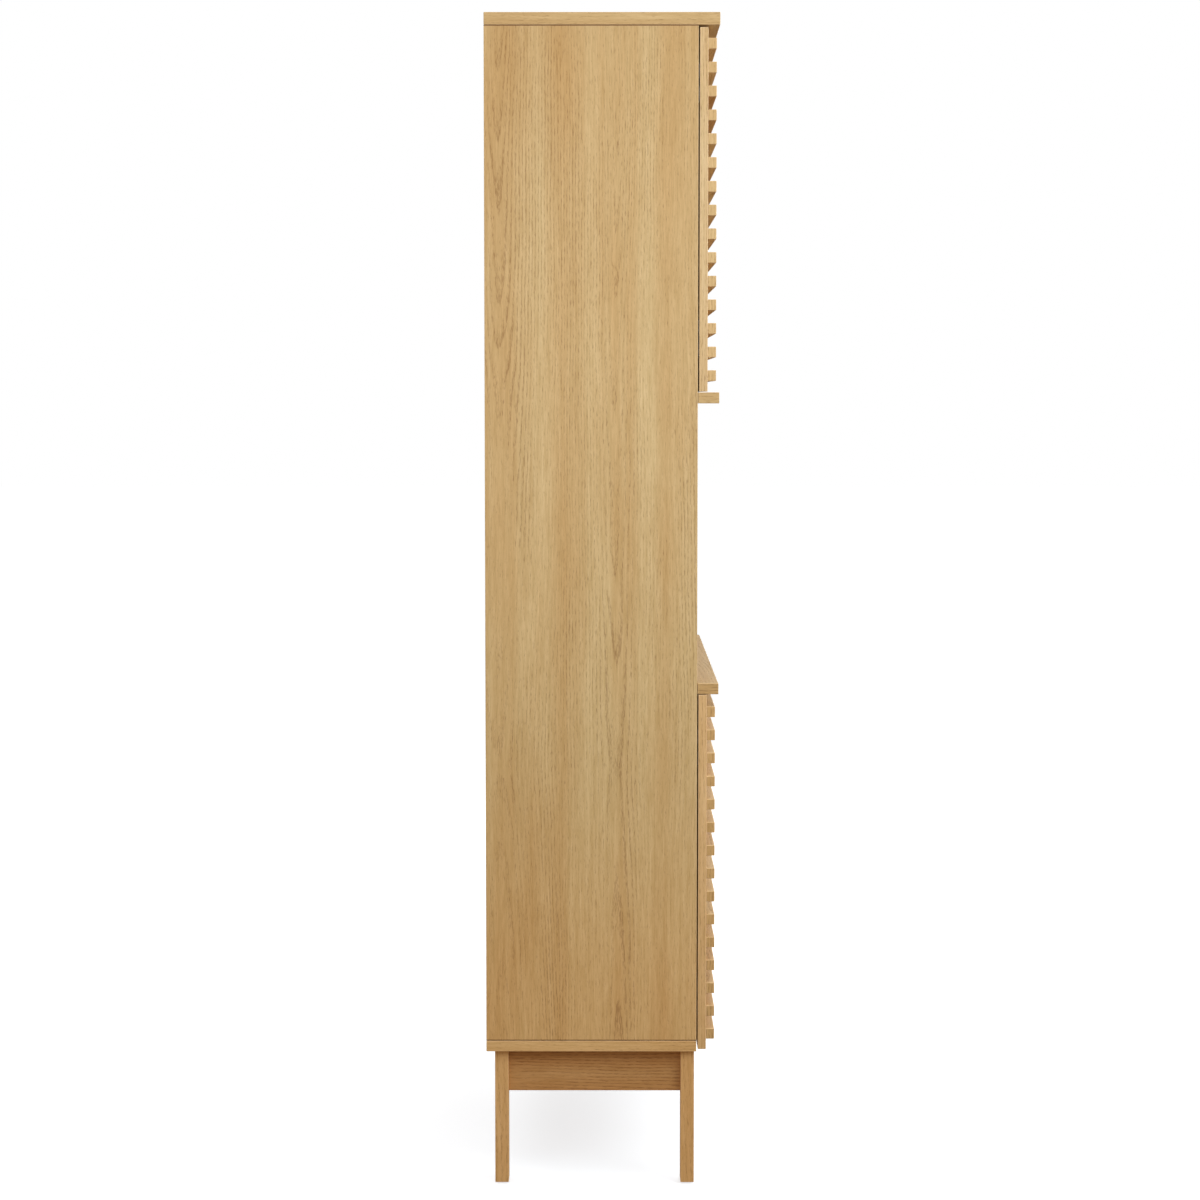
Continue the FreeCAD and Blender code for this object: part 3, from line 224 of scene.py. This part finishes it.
def make_oak_group():
    """Oak figure for a vector of (along the grain, across it, depth) in metres."""
    tree = bpy.data.node_groups.new("oak_figure", "ShaderNodeTree")
    sockets = tree.interface
    sockets.new_socket("Grain", in_out="INPUT", socket_type="NodeSocketVector")
    sockets.new_socket("Warmth", in_out="INPUT", socket_type="NodeSocketFloat")
    sockets.new_socket("Figure", in_out="INPUT", socket_type="NodeSocketFloat")
    sockets.new_socket("Color", in_out="OUTPUT", socket_type="NodeSocketColor")
    sockets.new_socket("Roughness", in_out="OUTPUT", socket_type="NodeSocketFloat")
    sockets.new_socket("Height", in_out="OUTPUT", socket_type="NodeSocketFloat")
    graph = Graph(tree)
    source = graph.node("NodeGroupInput")
    result = graph.node("NodeGroupOutput")
    grain, warmth = source.outputs["Grain"], source.outputs["Warmth"]

    # the grain wanders a few millimetres sideways along the board
    wander = graph.noise(graph.scaled(grain, WANDER_SCALE), detail=3.0, output=1)
    wander = graph.vector("SUBTRACT", wander, (0.5, 0.5, 0.5))
    grain = graph.vector("ADD", grain, graph.scaled(wander, (0.0, 0.014, 0.014)))

    sawtooth, leaf_chance = ring_pattern(graph, grain)
    late = graph.remap(sawtooth, 0.25, 0.90, smooth=True)
    late = graph.math("MULTIPLY", late, graph.remap(sawtooth, 1.0, 0.86, smooth=True))
    ring_strength = graph.noise(graph.scaled(grain, (1.8, 14.0, 14.0)), detail=2.0)
    ring_strength = graph.remap(ring_strength, 0.36, 0.68, 0.10, 0.40, smooth=True)
    ring_strength = graph.math("MULTIPLY", ring_strength, source.outputs["Figure"])
    ring_line = graph.math("MULTIPLY", late, ring_strength)

    # soft bands of paler and warmer wood
    narrow = centred_noise(graph, graph.scaled(grain, (0.30, 26.0, 26.0)), detail=3.0, roughness=0.6)
    broad = centred_noise(graph, graph.scaled(grain, (0.45, 7.0, 7.0)), detail=1.5)
    blotch = centred_noise(graph, graph.scaled(grain, (3.5, 14.0, 14.0)), detail=2.0)
    bands = graph.math("MULTIPLY", narrow, 0.55)
    bands = graph.math("ADD", bands, graph.math("MULTIPLY", broad, 0.75))
    bands = graph.math("ADD", bands, graph.math("MULTIPLY", blotch, 0.30))
    leaf_tone = graph.math("SUBTRACT", leaf_chance, 0.5)
    bands = graph.math("ADD", bands, graph.math("MULTIPLY", leaf_tone, 0.12))
    bands = graph.math("ADD", bands, graph.math("MULTIPLY", warmth, 0.18))
    bands = graph.remap(bands, -0.17, 0.19)

    # fine fibres, and the short dark pores that oak shows in its early wood
    fibres = graph.noise(graph.scaled(grain, FIBRE_SCALE), detail=3.0, roughness=0.65)
    coarse = graph.noise(graph.scaled(grain, COARSE_SCALE), detail=2.0, roughness=0.55)
    pores = graph.noise(graph.scaled(grain, PORE_SCALE), detail=2.0, roughness=0.6)
    pore_limit = graph.math("SUBTRACT", 0.66, graph.math("MULTIPLY", ring_line, 0.60))
    pores = graph.remap(graph.math("SUBTRACT", pores, pore_limit), -0.06, 0.14)

    color = graph.mix(bands, PALE_OAK, WARM_OAK)
    color = graph.mix(graph.math("MULTIPLY", ring_line, 0.22), color, LINE_OAK)
    # a darker fibre is more orange, because it loses more blue than red
    tone = graph.remap(fibres, 0.25, 0.75, -0.14, 0.14)
    tone = graph.math("ADD", tone, graph.remap(coarse, 0.25, 0.75, -0.10, 0.09))
    tone = graph.node("ShaderNodeCombineXYZ", {0: tone, 1: tone, 2: tone}).outputs[0]
    tone_color = graph.vector("ADD", graph.scaled(tone, FIBRE_TINT), (1.0, 1.0, 1.0))
    color = graph.mix(1.0, color, tone_color, blend="MULTIPLY")
    color = graph.mix(graph.math("MULTIPLY", pores, 0.42), color, PORE_OAK)

    roughness = graph.remap(fibres, 0.2, 0.8, 0.46, 0.58)
    roughness = graph.math("ADD", roughness, graph.math("MULTIPLY", pores, 0.15))
    height = graph.math("SUBTRACT", graph.math("MULTIPLY", fibres, 0.35), pores)
    height = graph.math("SUBTRACT", height, graph.math("MULTIPLY", ring_line, 0.3))

    graph.feed(result.inputs["Color"], color)
    graph.feed(result.inputs["Roughness"], roughness)
    graph.feed(result.inputs["Height"], height)
    return tree


OAK_GROUP = make_oak_group()


def oak(node, along, thin, seed, warmth=0.0, banded=True, contrast=1.0, shade=WHITE, pitch=None):
    """Oak for one CAD node, with its grain along one axis, on a board that is thin along another.

    A banded board has its end faces covered by a strip of veneer whose grain follows the edge; a solid
    piece shows its end grain there. A node of strips, one every `pitch`, has its own cut for each strip.
    """
    material, graph, shader = new_material(f"oak_{node}")
    low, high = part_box(node)
    middle = [(low[i] + high[i]) / 2 for i in range(3)]
    coordinates = graph.node("ShaderNodeTexCoord")
    local = graph.vector("SUBTRACT", coordinates.outputs["Object"], middle)
    parts = graph.node("ShaderNodeSeparateXYZ", {0: local}).outputs
    normal = graph.node("ShaderNodeSeparateXYZ", {0: coordinates.outputs["Normal"]}).outputs
    axis = {name: index for index, name in enumerate("XYZ")}
    across = [name for name in "XYZ" if name not in (along, thin)][0]
    u, v, w = (parts[axis[name]] for name in (along, across, thin))
    face = graph.node("ShaderNodeCombineXYZ", {0: u, 1: v, 2: w}).outputs[0]
    offset = (seed * 3.17 % 11.0, seed * 1.71 % 7.0, 0.0)
    face = graph.vector("ADD", face, offset)
    if pitch:
        strip = graph.math("ROUND", graph.math("DIVIDE", v, pitch))
        cut = graph.node("ShaderNodeTexWhiteNoise", {"W": strip}, noise_dimensions="1D").outputs
        face = graph.vector("ADD", face, graph.scaled(cut["Color"], STRIP_CUT))
    if banded:
        end = graph.node("ShaderNodeCombineXYZ", {0: v, 1: w, 2: 0.0}).outputs[0]
        straight = (math.floor(offset[1] / LEAF_WIDTH) + STRAIGHT_SHARE) * LEAF_WIDTH
        end = graph.vector("ADD", end, (offset[0] + 1.9, straight, 0.0))
        is_end = graph.math("GREATER_THAN", graph.math("ABSOLUTE", normal[axis[along]]), 0.72)
        face = graph.mix_vector(is_end, face, end)
    figure = graph.node("ShaderNodeGroup", node_tree=OAK_GROUP)
    graph.feed(figure.inputs["Grain"], face)
    graph.feed(figure.inputs["Warmth"], warmth)
    graph.feed(figure.inputs["Figure"], contrast)

    # painted highlight: the eased edges are painted lighter, where light would catch them
    largest = graph.math(
        "MAXIMUM",
        graph.math("MAXIMUM", graph.math("ABSOLUTE", normal[0]), graph.math("ABSOLUTE", normal[1])),
        graph.math("ABSOLUTE", normal[2]),
    )
    edge = graph.remap(largest, 0.995, 0.86, 0.0, EDGE_HIGHLIGHT_SHARE)
    color = graph.mix(edge, figure.outputs["Color"], EDGE_HIGHLIGHT_OAK)
    color = graph.mix(1.0, color, shade, blend="MULTIPLY")
    graph.feed(shader.inputs["Base Color"], color)
    graph.feed(shader.inputs["Roughness"], figure.outputs["Roughness"])
    shader.inputs["Specular IOR Level"].default_value = 0.42
    bump(graph, shader, figure.outputs["Height"], 0.00012)
    return material


def shader_of(material):
    """The material's Principled shader."""
    return [node for node in material.node_tree.nodes if node.type == "BSDF_PRINCIPLED"][0]


def side_board(node, seed):
    """A side panel: painted shade, warmer and darker towards its foot, and a thin painted shadow in the
    seam at each end.
    """
    material = oak(node, Z, X, seed)
    graph = Graph(material.node_tree)
    shader = shader_of(material)
    low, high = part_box(node)
    place = graph.node("ShaderNodeTexCoord").outputs["Object"]
    height = graph.node("ShaderNodeSeparateXYZ", {0: place}).outputs[2]
    color = shader.inputs["Base Color"].links[0].from_socket
    # painted shade, darker and warmer towards the foot of the panel
    foot = graph.remap(height, 0.70, 0.20, smooth=True)
    color = graph.mix(1.0, color, graph.mix(foot, WHITE, FOOT_SHADE_TINT), blend="MULTIPLY")
    over_foot = graph.math("SUBTRACT", height, low.z)
    under_top = graph.math("SUBTRACT", high.z, height)
    # painted shadow within two millimetres of the top and the foot, in the seams against the boards
    joint_shadow = graph.remap(graph.math("MINIMUM", over_foot, under_top), 0.0020, 0.0012)
    graph.feed(shader.inputs["Base Color"], graph.mix(joint_shadow, color, JOINT_SHADOW_OAK))
    return material


# ---------------------------------------------------------------- other materials


def metal(name, color, roughness, variation, scratch_scale):
    """Bare plated or cast metal with fine scratches and a slightly cloudy gloss."""
    material, graph, shader = new_material(name)
    place = graph.node("ShaderNodeTexCoord").outputs["Object"]
    cloud = graph.noise(place, scale=90.0, detail=3.0)
    scratches = graph.noise(graph.scaled(place, scratch_scale), detail=3.0, roughness=0.65)
    tint = graph.remap(cloud, 0.3, 0.7, 0.9, 1.05)
    tint = graph.node("ShaderNodeCombineXYZ", {0: tint, 1: tint, 2: tint}).outputs[0]
    graph.feed(shader.inputs["Base Color"], graph.mix(1.0, color, tint, blend="MULTIPLY"))
    shader.inputs["Metallic"].default_value = 1.0
    gloss = graph.math("ADD", roughness, graph.math("MULTIPLY", scratches, variation))
    graph.feed(shader.inputs["Roughness"], gloss)
    bump(graph, shader, scratches, 0.00002)
    return material


def plastic(name, color, roughness, grain_scale):
    """Moulded plastic with a fine spark-eroded texture and faint handling marks."""
    material, graph, shader = new_material(name)
    place = graph.node("ShaderNodeTexCoord").outputs["Object"]
    cells = graph.noise(place, scale=grain_scale, detail=2.0, roughness=0.6)
    cloud = graph.noise(place, scale=60.0, detail=2.0)
    darker = tuple(channel * 0.86 for channel in color[:3]) + (1.0,)
    graph.feed(shader.inputs["Base Color"], graph.mix(graph.remap(cloud, 0.3, 0.7), color, darker))
    gloss = graph.math("ADD", roughness, graph.math("MULTIPLY", cells, 0.16))
    graph.feed(shader.inputs["Roughness"], gloss)
    bump(graph, shader, cells, 0.00004)
    return material


def hardboard_back(node, seed):
    """A thin back panel: oak foil on its inner face, and bare brown fibreboard behind."""
    material = oak(node, Z, Y, seed, warmth=0.1)
    graph = Graph(material.node_tree)
    shader = shader_of(material)
    foil_color = shader.inputs["Base Color"].links[0].from_socket
    foil_gloss = shader.inputs["Roughness"].links[0].from_socket
    coordinates = graph.node("ShaderNodeTexCoord")
    place = coordinates.outputs["Object"]
    facing = graph.node("ShaderNodeSeparateXYZ", {0: coordinates.outputs["Normal"]}).outputs[1]
    bare = graph.math("GREATER_THAN", facing, -0.5)
    felt = graph.noise(place, scale=420.0, detail=4.0, roughness=0.7)
    blotch = graph.noise(place, scale=6.0, detail=3.0)
    mixed = graph.math("MULTIPLY", felt, 0.6)
    mixed = graph.math("ADD", mixed, graph.math("MULTIPLY", blotch, 0.4))
    board = graph.mix(graph.remap(mixed, 0.35, 0.65), linear(160, 120, 82), linear(190, 150, 108))
    graph.feed(shader.inputs["Base Color"], graph.mix(bare, foil_color, board))
    graph.feed(shader.inputs["Roughness"], graph.mix_number(bare, foil_gloss, 0.78))
    return material


def raw_beech(name):
    """Pale dowel wood with short brown flecks."""
    material, graph, shader = new_material(name)
    place = graph.node("ShaderNodeTexCoord").outputs["Object"]
    flecks = graph.noise(graph.scaled(place, (400.0, 400.0, 90.0)), detail=3.0)
    color = graph.mix(graph.remap(flecks, 0.4, 0.7), linear(222, 190, 146), linear(186, 146, 100))
    graph.feed(shader.inputs["Base Color"], color)
    graph.feed(shader.inputs["Roughness"], graph.remap(flecks, 0.2, 0.8, 0.6, 0.75))
    bump(graph, shader, flecks, 0.00006)
    return material


# ---------------------------------------------------------------- dressing the nodes

# node, its cut of oak, factor on its colour
FLAT_BOARDS = (
    ("top_panel", 7.7, WHITE),
    ("bottom_panel", 9.9, BASE_BOARD),
    ("countertop", 12.4, WHITE),
    ("upper_cabinet_floor", 14.9, WHITE),
    ("lower_shelf", 17.2, WHITE),
    ("upper_shelf", 18.8, WHITE),
)
SCREW_NODES = (
    "hinge_plate_screws",
    "hinge_arm_screws",
    "catch_screws",
    "rail_bracket_screws",
    "back_panel_nails",
    "leg_bolts",
)

# how fast the scratches change along X, Y and Z, per metre
BRUSHED = (60.0, 60.0, 900.0)
TURNED = (500.0, 500.0, 500.0)
CAST = (260.0, 260.0, 260.0)


def dress(node, material):
    """Gives the CAD node its one material."""
    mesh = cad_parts[node].data
    mesh.materials.clear()
    mesh.materials.append(material)


def dress_oak(node, along, thin, seed, **settings):
    """Gives a CAD node its own cut of oak."""
    dress(node, oak(node, along, thin, seed, **settings))


def dress_boards():
    """Each board and each solid piece has its own cut of oak."""
    # the rails get painted shade: darker and warmer, standing for the shade under the bottom board
    rail = {"warmth": 0.5, "banded": False, "contrast": 1.1, "shade": RAIL_SHADE}
    for seed, hand in enumerate(SIDES):
        dress(f"side_panel_{hand}", side_board(f"side_panel_{hand}", SIDE_CUT[hand]))
        dress_oak(f"side_rail_{hand}", Y, X, 21.3 + seed, **rail)
        for row, start in (("front", 31.7), ("back", 36.1)):
            dress_oak(f"{row}_leg_{hand}", Z, Y, start + seed, banded=False, shade=WARM_LEG)
    for node, cut, shade in FLAT_BOARDS:
        dress_oak(node, X, Z, cut, shade=shade)
    dress_oak("front_rail", X, Y, 24.6, **rail)
    dress_oak("back_rail", X, Y, 26.2, **rail)
    for seed, name in enumerate(("lower", "niche", "upper")):
        dress(f"{name}_back_panel", hardboard_back(f"{name}_back_panel", 41.0 + seed * 1.3))
    seed = 50.0
    for level in LEVELS:
        for hand in SIDES:
            seed += 2.3
            # the door panel's colour carries painted light, more on the lower doors
            dress_oak(f"{level}_{hand}_door_panel", X, Y, seed, shade=DOOR_TONE_AND_PAINTED_LIGHT[level])
            slats = f"{level}_{hand}_door_slats"
            dress_oak(slats, X, Y, seed + 1.1, shade=LIGHT_SLAT, pitch=SLAT_PITCH)


def dress_fittings():
    """Steel, zinc, plastic and beech for everything that joins the boards."""
    steel = metal("nickel_steel", linear(200, 197, 190), 0.36, 0.18, BRUSHED)
    screw_steel = metal("zinc_plated_screws", linear(186, 184, 176), 0.3, 0.18, TURNED)
    zinc = metal("zinc_casting", linear(150, 150, 150), 0.42, 0.2, CAST)
    hinge_steel = metal("satin_hinge_steel", linear(132, 128, 122), 0.48, 0.16, BRUSHED)
    glide = plastic("glide_plastic", linear(112, 84, 56), 0.42, 1800.0)
    catch = plastic("catch_plastic", linear(226, 222, 212), 0.38, 1500.0)
    dress("wood_dowels", raw_beech("raw_beech"))
    dress("foot_glides", glide)
    dress("magnetic_catches", catch)
    for node in ("cam_locks", "cam_bolts"):
        dress(node, zinc)
    dress("hinge_arms", hinge_steel)
    for node in ("hinge_plates", "shelf_pins", "rail_brackets"):
        dress(node, steel)
    for node in SCREW_NODES:
        dress(node, screw_steel)
    for level in LEVELS:
        for hand in SIDES:
            dress(f"{level}_{hand}_hinge_cups", hinge_steel)
            dress(f"{level}_{hand}_hinge_pins", hinge_steel)
            dress(f"{level}_{hand}_strike_plate", steel)
            dress(f"{level}_{hand}_door_screws", screw_steel)


# ---------------------------------------------------------------- studio

FLOOR_REACH = 30.0
FLOOR_GLOW = (0.90, 0.95, 1.0, 1.0)
FLOOR_GLOW_STRENGTH = 0.695
WORLD_TINT = (1.0, 0.775, 0.55, 1.0)
WORLD_STRENGTH = 0.33
OVERHEAD_STRENGTH = 1.0
OVERHEAD_WIDTH = 70.0

PLAIN = (1.0, 1.0, 1.0)
KEY_TINT = (0.95, 1.0, 1.02)
FILL_TINT = (0.985, 1.0, 1.02)

# name, place, target, size, power in watts, colour, width of the beam in degrees
SOFT_BOXES = (
    ("key", (-2.5, -2.5, 3.0), (-0.2, 0.0, 1.35), (2.0, 1.6), 10.9, KEY_TINT, 70.0),
    ("front", (-1.2, -3.6, 1.7), (0.0, 0.0, 0.9), (2.0, 1.6), 26.0, PLAIN, 180.0),
    ("fill", (-2.1, 0.2, 1.6), (-0.4, 0.0, 1.35), (1.4, 1.2), 5.3, FILL_TINT, 115.0),
    ("right", (3.4, -1.6, 2.2), (0.3, 0.0, 0.9), (2.0, 1.6), 58.0, PLAIN, 180.0),
    ("back", (0.9, 3.8, 2.2), (0.0, 0.2, 0.9), (2.0, 1.6), 30.0, PLAIN, 180.0),
)

CAMERA_DISTANCE = 3.9
CAMERA_ASIDE = -0.0046
CAMERA_HEIGHT = 1.1995
CAMERA_PITCH_DOWN = 3.703
CAMERA_YAW = 0.1097
CAMERA_LENS = 78.34
CAMERA_SHIFT = -0.03


def make_floor():
    """A wide pale floor just under the glides."""
    mesh = bpy.data.meshes.new("studio_floor")
    sides = ((-1, -1), (1, -1), (1, 1), (-1, 1))
    corners = [(x * FLOOR_REACH, y * FLOOR_REACH, 0.0) for x, y in sides]
    mesh.from_pydata(corners, [], [(0, 1, 2, 3)])
    floor = bpy.data.objects.new("studio_floor", mesh)
    bpy.context.scene.collection.objects.link(floor)
    material, graph, shader = new_material("studio_floor_paint")
    place = graph.node("ShaderNodeTexCoord").outputs["Object"]
    cloud = graph.noise(place, scale=1.3, detail=3.0)
    color = graph.mix(graph.remap(cloud, 0.3, 0.7), (0.58, 0.61, 0.64, 1.0), (0.62, 0.65, 0.68, 1.0))
    graph.feed(shader.inputs["Base Color"], color)
    shader.inputs["Emission Color"].default_value = FLOOR_GLOW
    shader.inputs["Emission Strength"].default_value = FLOOR_GLOW_STRENGTH
    shader.inputs["Roughness"].default_value = 0.9
    shader.inputs["Specular IOR Level"].default_value = 0.1
    mesh.materials.append(material)
    floor.visible_diffuse = False
    floor.visible_glossy = False


def make_world():
    """Soft light from all round, in front of a plain white ground."""
    world = bpy.data.worlds.new("studio_world")
    bpy.context.scene.world = world
    world.use_nodes = True
    graph = Graph(world.node_tree)
    background = world.node_tree.nodes["Background"]
    seen = graph.node("ShaderNodeLightPath").outputs["Is Camera Ray"]
    graph.feed(background.inputs["Color"], graph.mix(seen, WORLD_TINT, WHITE))
    graph.feed(background.inputs["Strength"], graph.mix_number(seen, WORLD_STRENGTH, 1.0))


def overhead_light():
    """A very soft light from straight above."""
    data = bpy.data.lights.new("overhead", "SUN")
    data.energy = OVERHEAD_STRENGTH
    data.angle = math.radians(OVERHEAD_WIDTH)
    light = bpy.data.objects.new("overhead", data)
    bpy.context.scene.collection.objects.link(light)


def area_light(name, place, target, size, power, color, spread):
    """A soft box at `place`, facing `target`, with its beam `spread` degrees wide."""
    data = bpy.data.lights.new(name, "AREA")
    data.shape = "RECTANGLE"
    data.size, data.size_y = size
    data.energy = power
    data.color = color
    data.spread = math.radians(spread)
    light = bpy.data.objects.new(name, data)
    bpy.context.scene.collection.objects.link(light)
    light.location = place
    light.visible_camera = False
    light.rotation_mode = "QUATERNION"
    light.rotation_quaternion = (Vector(target) - Vector(place)).to_track_quat("-Z", "Y")


def make_camera():
    """The camera stands off the cabinet's left side, level with the upper door's foot."""
    data = bpy.data.cameras.new("camera")
    camera = bpy.data.objects.new("camera", data)
    bpy.context.scene.collection.objects.link(camera)
    camera.location = (cad_box[0].x - CAMERA_DISTANCE, CAMERA_ASIDE, CAMERA_HEIGHT)
    pitch_down = math.radians(CAMERA_PITCH_DOWN)
    yaw = math.radians(CAMERA_YAW)
    camera.rotation_euler = Euler((math.pi / 2 - pitch_down, 0.0, yaw - math.pi / 2))
    data.sensor_width = 36.0
    data.lens = CAMERA_LENS
    data.shift_y = CAMERA_SHIFT
    data.clip_end = 200.0
    bpy.context.scene.camera = camera


dress_boards()
dress_fittings()
make_floor()
make_world()
overhead_light()
for soft_box in SOFT_BOXES:
    area_light(*soft_box)
make_camera()

scene = bpy.context.scene
scene.view_settings.view_transform = "Standard"
scene.view_settings.look = "None"
